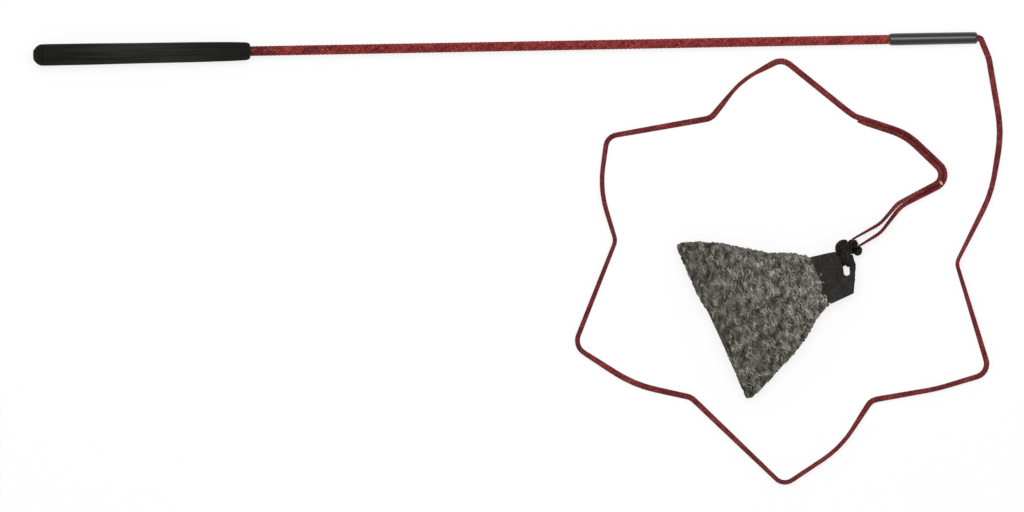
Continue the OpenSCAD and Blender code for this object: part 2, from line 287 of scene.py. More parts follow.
def wool_paint(name, shades, tint):
    """Curly wool: painted shade at the roots and a painted highlight on the tips, a tone of its own for each
    curl, and patches of a tint.
    """
    paint = Paint(name, Specular_IOR_Level=0.12)
    fibre = paint.noise(paint.coords(), 1400, 2)
    streaks = paint.noise(paint.coords((1, 0.6, 1)), 190, 1)
    patches = paint.noise(paint.coords(), 28, 2)
    level = paint.clamp(paint.tone() * 0.45 + fibre * 0.05 + streaks * 1.15 + patches * 0.06 - 0.43)
    places = [0.05, 0.3, 0.6, 0.95]
    wool = paint.ramp(level, list(zip(places, shades)))
    share = paint.node("ShaderNodeMapRange", {}, {0: patches, 1: 0.45, 2: 0.6, 3: 0.0, 4: 0.7})
    tinted = paint.node("ShaderNodeMix", {"data_type": "RGBA", "blend_type": "MULTIPLY"},
                        {0: share, 6: wool, 7: tint}, out=2)
    paint.colour(tinted)
    paint.roughness(0.8 + 0.15 * fibre)
    paint.bump(fibre, 0.0003, 0.5)
    return paint.material


def thread_paint(name, dark, light):
    """Twisted thread."""
    paint = Paint(name, Specular_IOR_Level=0.25)
    twist = paint.noise(paint.coords(), 1800, 2)
    paint.colour(paint.mix(twist, dark, light))
    paint.roughness(0.7 + 0.2 * twist)
    paint.bump(twist, 0.0002, 0.5)
    return paint.material


def inner_paint(name, dark, light, scale):
    """Plain finish for a piece that sits inside: fine streaks along the pole."""
    paint = Paint(name, Specular_IOR_Level=0.3)
    streaks = paint.noise(paint.coords((scale / 20, scale, scale)), 1.0, 3)
    paint.colour(paint.mix(streaks, dark, light))
    paint.roughness(0.45 + 0.3 * streaks)
    paint.bump(streaks, 0.0002, 0.4)
    return paint.material


# Helpers for modelling

def deselect_all():
    if bpy.context.object and bpy.context.object.mode != "OBJECT":
        bpy.ops.object.mode_set(mode="OBJECT")
    bpy.ops.object.select_all(action="DESELECT")


def select_only(piece):
    deselect_all()
    piece.select_set(True)
    bpy.context.view_layer.objects.active = piece


def settle(piece, place):
    """Puts a piece's place into its mesh, so that its object sits at the origin."""
    piece.data.transform(place @ piece.matrix_world)
    piece.matrix_world = Matrix.Identity(4)


def smooth(piece, angle=40):
    select_only(piece)
    bpy.ops.object.shade_smooth_by_angle(angle=math.radians(angle))


def apply_modifiers(piece):
    select_only(piece)
    for modifier in list(piece.modifiers):
        bpy.ops.object.modifier_apply(modifier=modifier.name)


def dress(piece, material, body=None, replaced=()):
    piece.data.materials.clear()
    piece.data.materials.append(material)
    if replaced:
        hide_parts(*replaced)
    if body:
        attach(piece, body)
    return piece


def join_as(name, parts):
    select_only(parts[0])
    for part in parts[1:]:
        part.select_set(True)
    bpy.ops.object.join()
    piece = bpy.context.object
    piece.name = name
    smooth(piece, 50)
    return piece


def mesh_piece(name, points, faces):
    mesh = bpy.data.meshes.new(name)
    mesh.from_pydata([tuple(p) for p in points], [], [tuple(f) for f in faces])
    mesh.update()
    piece = bpy.data.objects.new(name, mesh)
    bpy.context.scene.collection.objects.link(piece)
    return piece


def turned(name, profile, sides=72):
    """A solid of revolution along the pole: a circle, extruded and resized by (distance, radius) steps."""
    deselect_all()
    start, radius = profile[0]
    bpy.ops.mesh.primitive_circle_add(vertices=sides, radius=radius, fill_type="NGON", location=(0, 0, start))
    piece = bpy.context.object
    piece.name = name
    bpy.ops.object.transform_apply(location=True, rotation=False, scale=False)
    bpy.ops.object.mode_set(mode="EDIT")
    bpy.ops.mesh.select_all(action="SELECT")
    for (before, old), (distance, new) in zip(profile, profile[1:]):
        bpy.ops.mesh.extrude_region_move(TRANSFORM_OT_translate={"value": (0, 0, distance - before)})
        bpy.ops.transform.resize(value=(new / old, new / old, 1), center_override=(0, 0, distance))
    bpy.ops.mesh.select_all(action="SELECT")
    bpy.ops.mesh.normals_make_consistent(inside=False)
    bpy.ops.object.mode_set(mode="OBJECT")
    settle(piece, POLE_TURN)
    return piece


# Ribbons of yarn

LENS = [(-1.0, 0.0), (-0.55, 0.85), (0.55, 0.85), (1.0, 0.0), (0.55, -0.85), (-0.55, -0.85)]
DIAMOND = [(-1.0, 0.0), (0.0, 1.0), (1.0, 0.0), (0.0, -1.0)]


def unit_rows(rows):
    return rows / np.maximum(np.linalg.norm(rows, axis=1, keepdims=True), 1e-12)


class Ribbons:
    """Collects swept ribbons into one mesh, with a UV map along each and a tone at each point."""

    def __init__(self):
        self.points = []
        self.faces = []
        self.uvs = []
        self.tones = []

    def add(self, centres, ups, half_width, half_thick, tone, profile=LENS):
        count = len(profile)
        rings = len(centres)
        along = unit_rows(np.gradient(centres, axis=0))
        side = unit_rows(np.cross(ups, along))
        up = np.cross(along, side)
        first = len(self.points)
        for x, y in profile:
            edge = centres + side * (x * half_width) + up * (y * half_thick)
            self.points.extend(edge.tolist())
            self.tones.extend(np.broadcast_to(tone, rings).tolist())
        steps = np.linalg.norm(np.diff(centres, axis=0), axis=1)
        lengths = np.concatenate([[0.0], np.cumsum(steps)])
        for k in range(count):
            here = first + k * rings
            there = first + (k + 1) % count * rings
            v_here, v_there = k / count, (k + 1) / count
            for i in range(rings - 1):
                self.faces.append((here + i, there + i, there + i + 1, here + i + 1))
                u0, u1 = lengths[i], lengths[i + 1]
                self.uvs.extend((u0, v_here, u0, v_there, u1, v_there, u1, v_here))
        start_cap = tuple(first + k * rings for k in reversed(range(count)))
        end_cap = tuple(first + k * rings + rings - 1 for k in range(count))
        for cap in (start_cap, end_cap):
            self.faces.append(cap)
            self.uvs.extend((0.0, 0.0) * count)

    def piece(self, name):
        made = mesh_piece(name, self.points, self.faces)
        layer = made.data.uv_layers.new(name="strand")
        layer.data.foreach_set("uv", self.uvs)
        tones = made.data.attributes.new("tone", "FLOAT", "POINT")
        tones.data.foreach_set("value", self.tones)
        made.data.polygons.foreach_set("use_smooth", [True] * len(made.data.polygons))
        return made


# The lash's route from the mouth, as in the part's source: x, y, bend radius, roll in degrees and lift.
# It starts inside the ferrule and turns down to the source's second point, and it lies flatter than the
# source's solid beside the tip of its sewn end.
SEWN_ROLL = 42
STRAND_ANGLE = math.radians(28)
EYE_AT = Vector((-0.1242, -0.1977))
LASH_CORNER_R = math.hypot(LASH_W, LASH_T) / 2
EYE_R = LASH_CORNER_R + RUN_GAP + LACE_D / 2
EYE_H = EYE_R + LACE_D / 2 + RUN_GAP
BIGHT = LASH_T / 2 + LACE_D / 2 + 4 * RUN_GAP
BIGHT_SIDE = BIGHT * Vector((-math.sin(STRAND_ANGLE), math.cos(STRAND_ANGLE)))
BIGHT_LIFT = EYE_H - LASH_W / 2
MOUTH_LIFT = MOUTH.z - FLOOR_Z - LASH_T / 2
ROUTE = [
    (-0.004, 0.0, 0.0, 0, MOUTH_LIFT),
    (0.0031, 0.0, 0.0032, 0, MOUTH_LIFT),
    (0.011, -0.020, 0.025, 0, 0.0025),
    (0.022, -0.092, 0.12, 10, 0.0),
    (0.011, -0.151, 0.12, 30, 0.0),
    (-0.024, -0.2175, 0.012, 52, 0.0),
    (0.0065, -0.3245, 0.013, 28, 0.0),
    (-0.045, -0.339, 0.15, 35, 0.0),
    (-0.109, -0.349, 0.012, 22, 0.0),
    (-0.1395, -0.3945, 0.1, 45, 0.0),
    (-0.1955, -0.4303, 0.012, 42, 0.0),
    (-0.2833, -0.343, 0.014, 18, 0.0),
    (-0.3385, -0.3298, 0.12, 8, 0.0),
    (-0.3958, -0.2914, 0.014, 35, 0.0),
    (-0.3536, -0.19, 0.012, 45, 0.0),
    (-0.368, -0.14, 0.1, 38, 0.0),
    (-0.36, -0.089, 0.012, 32, 0.0),
    (-0.259, -0.073, 0.014, 5, 0.0),
    (-0.229, -0.037, 0.08, 48, 0.0),
    (-0.189, -0.0164, 0.014, 0, 0.0),
    (-0.128, -0.0676, 0.1, 5, 0.0),
    (-0.1195, -0.074, 0.02, 15, 0.0),
    (-0.0695, -0.0903, 0.06, SEWN_ROLL, 0.0),
    (-0.0235, -0.1356, 0.014, 40, 0.0),
    (-0.077, -0.162, 0.03, 48, 0.0),
    (-0.097, -0.187, 0.03, 62, 0.002),
    (EYE_AT.x - BIGHT_SIDE.x, EYE_AT.y - BIGHT_SIDE.y, 0.9 * BIGHT, 90, BIGHT_LIFT),
    (EYE_AT.x + BIGHT_SIDE.x, EYE_AT.y + BIGHT_SIDE.y, 0.9 * BIGHT, 90, BIGHT_LIFT),
    (-0.097, -0.178, 0.03, 118, 0.002),
    (-0.0796, -0.1588, 0.02, 132, 0.0),
    (-0.031, -0.1345, 0.01, 140, 0.0),
    (-0.0718, -0.094, 0.06, 180 - SEWN_ROLL, 0.0),
    (-0.117, -0.0785, 0.0, 132, 0.0),
]
LASH_STRANDS = 5
LASH_CYCLE = 0.016
LASH_STEP = 0.0007
BEND_STEP = math.radians(5)


def half_height(roll):
    """Height of the flat braid's middle over what it lies on, at a roll in degrees."""
    angle = math.radians(roll)
    corner = math.tan(math.radians(22.5))
    rise, reach = abs(math.sin(angle)), abs(math.cos(angle))
    edge = LASH_W / 2 * rise + LASH_T / 2 * corner * reach
    face = LASH_W / 2 * corner * rise + LASH_T / 2 * reach
    return max(edge, face)


def lash_line():
    """Points along the lash's middle, with the heading and roll at each."""
    rows = []
    corners = [Vector(p[:2]) for p in ROUTE]
    last = len(ROUTE) - 1
    for i, (x, y, radius, roll, lift) in enumerate(ROUTE):
        height = FLOOR_Z + lift + half_height(roll)
        if i in (0, last):
            step = corners[1] - corners[0] if i == 0 else corners[last] - corners[last - 1]
            rows.append((x, y, height, math.atan2(step.y, step.x), roll))
            continue
        into, out = corners[i] - corners[i - 1], corners[i + 1] - corners[i]
        heading = math.atan2(into.y, into.x)
        turn = into.angle_signed(out, 0) * -1
        start = corners[i] - into.normalized() * radius * math.tan(abs(turn) / 2)
        steps = max(2, round(abs(turn) / BEND_STEP))
        centre_side = math.copysign(1, turn)
        for k in range(steps + 1):
            angle = abs(turn) * k / steps
            ahead = radius * math.sin(angle)
            aside = centre_side * radius * (1 - math.cos(angle))
            px = start.x + ahead * math.cos(heading) - aside * math.sin(heading)
            py = start.y + ahead * math.sin(heading) + aside * math.cos(heading)
            rows.append((px, py, height, heading + centre_side * angle, roll))
    line = np.array(rows)
    line[:, 3] = np.unwrap(line[:, 3])
    line[:, 0] += MOUTH.x
    gaps = np.linalg.norm(np.diff(line[:, :3], axis=0), axis=1)
    lengths = np.concatenate([[0.0], np.cumsum(gaps)])
    count = int(lengths[-1] / LASH_STEP)
    even = np.linspace(0.0, lengths[-1], count)
    fine = np.stack([np.interp(even, lengths, line[:, k]) for k in range(5)], axis=1)
    return even, fine


def add_lash():
    lengths, line = lash_line()
    heading, roll = line[:, 3], np.radians(line[:, 4])
    level = np.stack([-np.sin(heading), np.cos(heading), np.zeros_like(heading)], axis=1)
    upright = np.array([0.0, 0.0, 1.0])
    across = level * np.cos(roll)[:, None] + upright * np.sin(roll)[:, None]
    normal = -level * np.sin(roll)[:, None] + upright * np.cos(roll)[:, None]
    ribbons = Ribbons()
    strand_half = 0.0012
    # Where the braid stands on edge, its yarn is seen from the side and bulges a little
    on_edge = np.clip((np.abs(np.sin(roll)) - 0.75) / 0.2, 0, 1)
    bulge = 1 + 0.3 * on_edge[:, None]
    strand_thick = 0.00042 * bulge
    weave_height = 0.0006 * bulge[:, 0]
    # The sewn end is drawn in over its last few millimetres
    drawn_in = np.clip((lengths[-1] - lengths) / 0.006, 0.35, 1)
    for strand in range(LASH_STRANDS):
        phase = lengths / LASH_CYCLE + strand / LASH_STRANDS
        zigzag = 4 * np.abs((phase + 0.5) % 1.0 - 0.5) - 1
        sway = (LASH_W / 2 - 0.75 * strand_half) * (0.8 * zigzag - 0.2 * np.cos(2 * np.pi * phase))
        sway *= drawn_in
        crossing = np.cos(2 * np.pi * LASH_STRANDS * phase)
        facing = np.clip(2.5 * np.sin(2 * np.pi * phase), -1, 1)
        lift = weave_height * crossing * facing
        centres = line[:, :3] + across * sway[:, None] + normal * lift[:, None]
        tone = (0.3 + 0.5 * strand / (LASH_STRANDS - 1)) * (1 - 0.6 * on_edge)
        ribbons.add(centres, normal, strand_half, strand_thick, tone)
    inner = slice(None, None, 6)
    inner_half = (LASH_W / 2 + 0.0001) * drawn_in[inner, None]
    ribbons.add(line[inner, :3], normal[inner], inner_half, 0.0006 * bulge[inner], 0.2)
    lash = ribbons.piece("lash_braid")
    dress(lash, lash_paint(), replaced=("lash",))
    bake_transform(lash)
    add_loop_stitches()


# The pole

def add_cover():
    """The braided cover: ribbons that wind both ways over and under each other, on a closed tube."""
    strands = 8
    pitch = 0.034
    start, end = 0.200, 0.836
    wave = 0.00022
    half_width = 0.00128
    half_thick = 0.00032
    distance = np.arange(start, end, 0.00085)
    share = (distance - start) / (end - start)
    # The yarn bulges a little, and most towards the grip
    bulge = 0.0004 - 0.0002 * share
    middle = COVER_R + bulge - half_thick - wave
    # It is darker towards the grip, and darkest beside it, where a painted shadow stands for the shade that
    # the grip's nose casts in the joint
    darkening_and_joint_shade = 0.18 - 0.25 * share + 0.8 * np.exp(-np.maximum(0, distance - GRIP_LEN) / 0.012)
    ribbons = Ribbons()
    draw = random.Random(11)
    for way in (1, -1):
        for strand in range(strands):
            angle = way * 2 * np.pi * distance / pitch + 2 * np.pi * strand / strands
            lift = way * wave * np.cos(2 * strands * np.pi * distance / pitch)
            radius = middle + lift
            out = np.stack([np.cos(angle), np.sin(angle), np.zeros_like(angle)], axis=1)
            centres = out * radius[:, None]
            centres[:, 2] = distance
            # Each strand's own tone, less the darkening towards the grip and the painted joint shadow
            tone = draw.uniform(0.1, 0.9) - darkening_and_joint_shade
            ribbons.add(centres, out, half_width, half_thick, tone, profile=DIAMOND)
    cover = ribbons.piece("cover_braid")
    settle(cover, POLE_TURN)
    dress(cover, cover_paint(), "pole", ("shaft_cover",))
    tube = turned("cover_lining", [(0.0205, COVER_R - 0.0007), (0.866, COVER_R - 0.0007)], 32)
    smooth(tube)
    dress(tube, thread_paint("cover_lining_yarn", srgb(60, 16, 18), srgb(104, 34, 34)), "pole")


def add_grip():
    nose_start = GRIP_LEN - 0.006
    nose = []
    for degrees in range(0, 91, 15):
        turn = math.radians(degrees)
        nose.append((nose_start + 0.006 * math.sin(turn), 0.0062 + 0.0026 * math.cos(turn)))
    body = [(CAP_LEN + 0.0002, GRIP_R - 0.0004), (CAP_LEN + 0.0005, GRIP_R - 0.0001)]
    body.append((CAP_LEN + 0.002, GRIP_R))
    steps = 16
    shoulder = GRIP_LEN - 0.022
    for k in range(1, steps + 1):
        share = k / steps
        fuller = 0.0003 * max(0.0, 1 - abs(share - 0.8) / 0.4)
        body.append((GRIP_REST + (shoulder - GRIP_REST) * share, GRIP_R + (0.0092 - GRIP_R) * share + fuller))
    body.append((GRIP_LEN - 0.013, 0.0091))
    profile = body + nose + [(GRIP_LEN - 0.0005, 0.0049)]
    grip = turned("grip_sleeve", profile, 96)
    smooth(grip)
    dress(grip, grip_paint("black_grip_rubber"), "pole", ("grip",))
    cap_profile = [(0.0, 0.0032), (0.0002, 0.0046), (0.0012, 0.0060), (0.0026, 0.0076), (0.0040, 0.0088),
                   (0.0056, 0.0098), (0.0070, 0.01027), (0.0084, 0.01048), (CAP_LEN - 0.0001, 0.01046),
                   (CAP_LEN + 0.0001, 0.0100), (CAP_LEN + 0.001, 0.0049), (0.021, 0.0049)]
    cap = turned("butt_cap_dome", cap_profile, 96)
    smooth(cap)
    dress(cap, grip_paint("black_cap_rubber"), "pole", ("butt_cap",))


def add_ferrule():
    start = POLE_LEN - FERRULE_LEN
    profile = [(start - 0.0002, 0.0046), (start, 0.0050), (start + 0.0006, 0.0055), (start + 0.0018, 0.0058)]
    for share, radius in ((0.1, 0.00594), (0.35, 0.00588), (0.47, 0.0059), (0.55, 0.00582), (0.85, 0.00578)):
        profile.append((start + FERRULE_LEN * share, radius))
    profile += [(POLE_LEN - 0.0022, 0.00568), (POLE_LEN - 0.0010, 0.0054), (POLE_LEN - 0.0003, 0.0048),
                (POLE_LEN, 0.0041), (POLE_LEN - 0.0002, 0.0034), (POLE_LEN - 0.003, 0.0033)]
    ferrule = turned("ferrule_sleeve", profile, 96)
    smooth(ferrule, 60)
    dress(ferrule, sleeve_paint(), "pole", ("ferrule",))


# The thong

KNOT_ANGLE = math.radians(203)
HOLE_ANGLE = math.radians(-84)
LURE_ANGLE = math.radians(202.3)
TAB_H = RING_R + LACE_D / 2 + RUN_GAP
KNOT_AT = EYE_AT + (KNOT_R + 5 * RUN_GAP) * Vector((math.cos(KNOT_ANGLE), math.sin(KNOT_ANGLE)))
HOLE_AT = KNOT_AT + 2 * RING_R * Vector((math.cos(HOLE_ANGLE), math.sin(HOLE_ANGLE)))


def on_plan(at, height):
    return Vector((MOUTH.x + at.x, at.y, FLOOR_Z + height))


def lace(points, radius, closed):
    """A round lace along a smooth curve through points, as a mesh."""
    data = bpy.data.curves.new("lace", "CURVE")
    data.dimensions = "3D"
    data.bevel_depth = radius
    data.bevel_resolution = 3
    data.resolution_u = 6
    data.use_fill_caps = True
    spline = data.splines.new("BEZIER")
    spline.bezier_points.add(len(points) - 1)
    for bezier, point in zip(spline.bezier_points, points):
        bezier.co = point
        bezier.handle_left_type = "AUTO"
        bezier.handle_right_type = "AUTO"
    spline.use_cyclic_u = closed
    piece = bpy.data.objects.new("lace", data)
    bpy.context.scene.collection.objects.link(piece)
    select_only(piece)
    bpy.ops.object.convert(target="MESH")
    return bpy.context.object


def ring_points(centre, first, second, radius, count=10):
    points = []
    for k in range(count):
        turn = 2 * math.pi * k / count
        points.append(centre + radius * (math.cos(turn) * first + math.sin(turn) * second))
    return points


def cut_away(piece, cutters):
    """Cuts the shapes of the cutters out of a piece."""
    for cutter in cutters:
        cut = piece.modifiers.new("cut", "BOOLEAN")
        cut.object = cutter
        cut.operation = "DIFFERENCE"
    apply_modifiers(piece)


def ball(centre, radius):
    deselect_all()
    bpy.ops.mesh.primitive_uv_sphere_add(segments=24, ring_count=16, radius=radius, location=centre)
    piece = bpy.context.object
    settle(piece, Matrix.Identity(4))
    return piece


def groove_cutter(hole):
    """The groove that the tab swings in."""
    deselect_all()
    bpy.ops.mesh.primitive_cylinder_add(
        vertices=96, radius=SWING_R + RUN_GAP, depth=2 * (LEAF_T + 2 * RUN_GAP), location=hole)
    return bpy.context.object


def strand_cutters(eye):
    """Room for the loop, whose strands turn up as the lure lifts: round its bend and over its strands."""
    back = LASH_CORNER_R + RUN_GAP
    under = LASH_CORNER_R + 3 * RUN_GAP
    deselect_all()
    bpy.ops.mesh.primitive_cylinder_add(vertices=48, radius=under, depth=2 * BIGHT)
    bend = bpy.context.object
    lay = Matrix.Rotation(STRAND_ANGLE, 4, "Z") @ Matrix.Rotation(math.pi / 2, 4, "X")
    settle(bend, Matrix.Translation(eye) @ lay)
    rooms = [bend]
    for side in (-1, 1):
        deselect_all()
        bpy.ops.mesh.primitive_cube_add(size=1)
        room = bpy.context.object
        place = Matrix.Translation(eye + side * BIGHT_SIDE.to_3d()) @ Matrix.Rotation(STRAND_ANGLE, 4, "Z")
        place = place @ Matrix.Translation((0.03 - back, 0, 0.03 - under))
        settle(room, place @ Matrix.Diagonal((0.06, LASH_T + 4 * RUN_GAP, 0.06, 1)))
        rooms.append(room)
    return rooms


def turns_of_lace(centre, radius, half, turns):
    """Rings of lace round a centre, each with a tilt and a spin in degrees."""
    rings = []
    for tilt, spin in turns:
        turn = Matrix.Rotation(math.radians(spin), 3, "Z") @ Matrix.Rotation(math.radians(tilt), 3, "X")
        rings.append(lace(ring_points(centre, turn.col[0], turn.col[1], radius), half, True))
    return rings


def add_thong():
    upright = Vector((0, 0, 1))
    strand = Vector((math.cos(STRAND_ANGLE), math.sin(STRAND_ANGLE), 0))
    aside = BIGHT_SIDE.to_3d().normalized()
    toward_hole = Vector((math.cos(HOLE_ANGLE), math.sin(HOLE_ANGLE), 0))
    knot = on_plan(KNOT_AT, KNOT_R)
    eye = on_plan(EYE_AT, EYE_H)
    hole = on_plan(HOLE_AT, TAB_H)
    half = LACE_D / 2
    parts = [lace(ring_points(hole - RING_R * toward_hole, toward_hole, upright, RING_R), half, True)]
    # Two more turns of the lace lie side by side over the tab and cover one end of the slot
    over_turns = []
    for offset, reach in ((-0.0019, 0.0014), (0.0019, 0.0028)):
        over = hole - (RING_R - reach) * toward_hole + offset * upright.cross(toward_hole)
        arc = [over + RING_R * (math.cos(a) * toward_hole + math.sin(a) * upright)
               for a in np.radians([20, 45, 75, 105, 135, 160])]
        over_turns.append(lace(arc, 0.0021, False))
    # The eye has three thin turns of lace side by side, between the loop's strands
    thin = 0.00095
    for side in (-2, 0, 2):
        centre = eye + side * thin * aside
        parts.append(lace(ring_points(centre, strand, upright, LASH_CORNER_R + RUN_GAP + thin), thin, True))
    ball_parts = [ball(knot, KNOT_R - 0.0012)]
    ball_parts += turns_of_lace(knot, KNOT_R - half, half, [(20, 15), (75, 24)])
    # The upper turns lie over the tab and are wider
    crown = knot + 0.005 * upright
    ball_parts += over_turns + [ball(crown, 0.0072)]
    ball_parts.append(lace([crown, eye - 0.0054 * strand + 0.0036 * aside + 0.002 * upright], half, False))
    ball_parts += turns_of_lace(crown, 0.0066, half, [(8, 0), (38, 60), (-40, 35), (72, 130)])
    lobe = on_plan(EYE_AT - 1.65 * BIGHT_SIDE, 1.4 * LACE_D) + 0.001 * strand
    lobe_parts = [ball(lobe, 1.1 * LACE_D)]
    lobe_parts += turns_of_lace(lobe, 0.0030, half, [(70, 20), (30, 110)])
    for spread in (-0.004, 0.0, 0.004):
        under = on_plan(KNOT_AT, 0.0019) + spread * strand
        end = lobe + spread * strand
        end.z = under.z
        lobe_parts.append(lace([under, end], 0.0017, False))
    # Lace under the loop's upper strand
    upper_end = on_plan(EYE_AT, 0.0019) + 0.0036 * aside
    lobe_parts.append(lace([on_plan(KNOT_AT, 0.0019), upper_end], 0.0017, False))
    lobe_parts.append(ball(upper_end, 0.0017))
    groove = groove_cutter(hole)
    rooms = strand_cutters(eye)
    for part in ball_parts:
        cut_away(part, [groove] + rooms)
    for part in lobe_parts:
        cut_away(part, rooms)
    for cutter in [groove] + rooms:
        bpy.data.objects.remove(cutter)
    thong = join_as("thong_knot", parts + ball_parts + lobe_parts)
    black = leather_paint("black_lace_leather", srgb(8, 7, 7), srgb(20, 18, 17), srgb(52, 48, 46), 500)
    dress(thong, black, "thong", ("thong",))


# The lure, in its own frame: origin in the tab's hole, u to the base edge, w across

LURE_PLACE = Matrix.Translation(on_plan(HOLE_AT, TAB_H)) @ Matrix.Rotation(LURE_ANGLE, 4, "Z")
TAB_LEN = 0.029
TAB_W = 0.0495
TAB_OFF = 0.0058
TONGUE_T = 0.0025
SLOT_HALF = TONGUE_T + RUN_GAP
MOUTH_HALF = SLOT_HALF + LEAF_T
LEAVES_PART = 0.010
LEAVES_OPEN = 0.018
HOLE_R = 0.0030
HOLE_RUN = 0.0092
HOLE_LEAN = math.radians(73)
TAB_LOW = [(-0.0092, -0.0046), (0.006, -0.0145), (TAB_LEN, TAB_OFF - TAB_W / 2)]
TAB_HIGH = [(-0.0092, -0.0030), (-0.0068, 0.0087), (0.0045, TAB_OFF + TAB_W / 2 - 0.0006),
            (TAB_LEN, TAB_OFF + TAB_W / 2)]


def edge_at(table, u):
    return float(np.interp(u, [p[0] for p in table], [p[1] for p in table]))


def leaf_gap(u):
    """Half the space between the two leaves of leather."""
    return float(np.interp(u, [LEAVES_PART, LEAVES_OPEN], [0.0, SLOT_HALF]))


def add_tab():
    deselect_all()
    bpy.ops.mesh.primitive_cylinder_add(vertices=32, radius=HOLE_R, depth=0.03)
    slot_cutter = bpy.context.object
    for vertex in slot_cutter.data.vertices:
        if vertex.co.x > 0.00001:
            vertex.co.x += HOLE_RUN
    settle(slot_cutter, Matrix.Rotation(HOLE_LEAN, 4, "Z"))
    leaves = []
    for face in (1, -1):
        deselect_all()
        bpy.ops.mesh.primitive_grid_add(x_subdivisions=36, y_subdivisions=48, size=1)
        leaf = bpy.context.object
        for vertex in leaf.data.vertices:
            share_u, share_w = vertex.co.x + 0.5, vertex.co.y + 0.5
            u = TAB_LOW[0][0] + (TAB_LEN - TAB_LOW[0][0]) * share_u
            low, high = edge_at(TAB_LOW, u), edge_at(TAB_HIGH, u)
            w = low + (high - low) * share_w
            waves = 0.0005 * math.sin(w * 540 + 1) + 0.0003 * math.sin(w * 1250)
            ripple = waves * max(0.0, 1 - share_u * 3)
            sag = 0.00025 * math.sin(u * 330 + w * 150)
            height = face * (leaf_gap(u) + LEAF_T / 2) + sag * share_u
            vertex.co = (u + ripple, w, height)
        thick = leaf.modifiers.new("thickness", "SOLIDIFY")
        thick.thickness = LEAF_T - 0.0001
        thick.offset = 0
        cut_away(leaf, [slot_cutter])
        edge = leaf.modifiers.new("edge", "BEVEL")
        edge.width = 0.0004
        edge.segments = 2
        edge.limit_method = "ANGLE"
        edge.angle_limit = math.radians(50)
        apply_modifiers(leaf)
        leaves.append(leaf)
    bpy.data.objects.remove(slot_cutter)
    tab = join_as("tab_leaves", leaves)
    settle(tab, LURE_PLACE)
    black = leather_paint("black_tab_leather", srgb(20, 19, 17), srgb(36, 35, 32), srgb(58, 56, 51), 420)
    dress(tab, black, "lure", ("tab",))


def stitch(radius, length, place):
    """One stitch: a short thread with rounded ends."""
    deselect_all()
    bpy.ops.mesh.primitive_cylinder_add(vertices=10, radius=radius, depth=length)
    piece = bpy.context.object
    bpy.ops.object.mode_set(mode="EDIT")
    bpy.ops.mesh.select_all(action="SELECT")
    bpy.ops.mesh.bevel(offset=radius * 0.7, segments=2, affect="EDGES")
    bpy.ops.object.mode_set(mode="OBJECT")
    settle(piece, place)
    return piece


def add_tab_stitches():
    parts = []
    u = TAB_LEN - 0.0035
    w = TAB_OFF - TAB_W / 2 + 0.004
    while w < TAB_OFF + TAB_W / 2 - 0.004:
        for face in (1, -1):
            lay = Matrix.Translation((u, w, face * MOUTH_HALF)) @ Matrix.Rotation(math.pi / 2, 4, "X")
            parts.append(stitch(0.00045, 0.0034, LURE_PLACE @ lay))
        w += 0.005
    row = join_as("tab_stitch_row", parts)
    dress(row, thread_paint("dark_tab_thread", srgb(22, 21, 19), srgb(54, 51, 46)), "lure",
          ("tab_stitches",))


SEWN_RUNS = [
    ((-0.106, -0.08), (-0.0805, -0.0888)),
    ((-0.0667, -0.096), (-0.0418, -0.1206)),
    ((-0.0424, -0.1425), (-0.0675, -0.1549)),
]


def add_loop_stitches():
    parts = []
    roll = math.radians(SEWN_ROLL)
    flat = Matrix.Rotation(math.pi / 2, 4, "Y")
    # The stitches lie on the upper braid's face, which leans like the braid
    face = LASH_T / 2 - 0.0004
    down = 0.0005
    aside = -0.0021 - face * math.sin(roll) - down * math.cos(roll)
    height = half_height(SEWN_ROLL) + face * math.cos(roll) - down * math.sin(roll)
    for start, end in SEWN_RUNS:
        first, last = Vector(start), Vector(end)
        run = last - first
        heading = math.atan2(run.y, run.x)
        left = Vector((-run.y, run.x)).normalized()
        for k in range(int(run.length / 0.004) + 1):
            at = first + run.normalized() * 0.004 * k + left * aside
            slant = math.radians(90 if k % 2 else 75)
            lay = Matrix.Translation(on_plan(at, height)) @ Matrix.Rotation(heading + slant, 4, "Z")
            parts.append(stitch(0.0003, 0.0036, lay @ Matrix.Rotation(-roll, 4, "Y") @ flat))
    row = join_as("loop_stitch_row", parts)
    dress(row, thread_paint("dark_red_thread", srgb(70, 20, 22), srgb(120, 50, 46)), "lash",
          ("loop_stitches",))
    # One end of pale thread shows at the corner of the doubled end
    corner = on_plan(Vector((-0.0374, -0.140)), 0.0042)
    lay = Matrix.Translation(corner) @ Matrix.Rotation(math.radians(-60), 4, "Z")
    pale = stitch(0.0011, 0.0042, lay @ flat)
    pale.name = "pale_thread_end"
    smooth(pale)
    dress(pale, thread_paint("tan_thread", srgb(206, 160, 134), srgb(236, 196, 174)), "lash")
    return [row, pale]


# The fleece

FLEECE_LEN = 0.113
FLEECE_BASE = 0.168
SIDE_SWELL = 0.0043
SIDE_DENT = 0.0025
NECK_SHIFT = 0.003
BASE_FLARE = 0.0012
BASE_STEP = 0.0021
CORNER_R = 0.007
CROWN_H = 0.014


def rounding(s):
    over = (s - FLEECE_LEN + CORNER_R) / CORNER_R
    return math.sqrt(max(0.0, 1 - over * over)) if over > 0 else 1.0


def fleece_half(s):
    share = max(0.0, s) / FLEECE_LEN
    plain = TAB_W / 2 + (FLEECE_BASE - TAB_W) / 2 * share + SIDE_SWELL * math.sin(math.pi * share ** 1.6)
    return plain - CORNER_R * (1 - rounding(s))


def fleece_swell(s):
    share = max(0.0, s) / FLEECE_LEN
    if share < 0.4:
        return math.sin(math.pi / 2 * share / 0.4)
    return math.cos(math.pi / 3 * (share - 0.4) / 0.6)


def fleece_top(s):
    neck = MOUTH_HALF + 0.0006
    return (neck + (CROWN_H - neck) * fleece_swell(s)) * max(0.15, rounding(s))


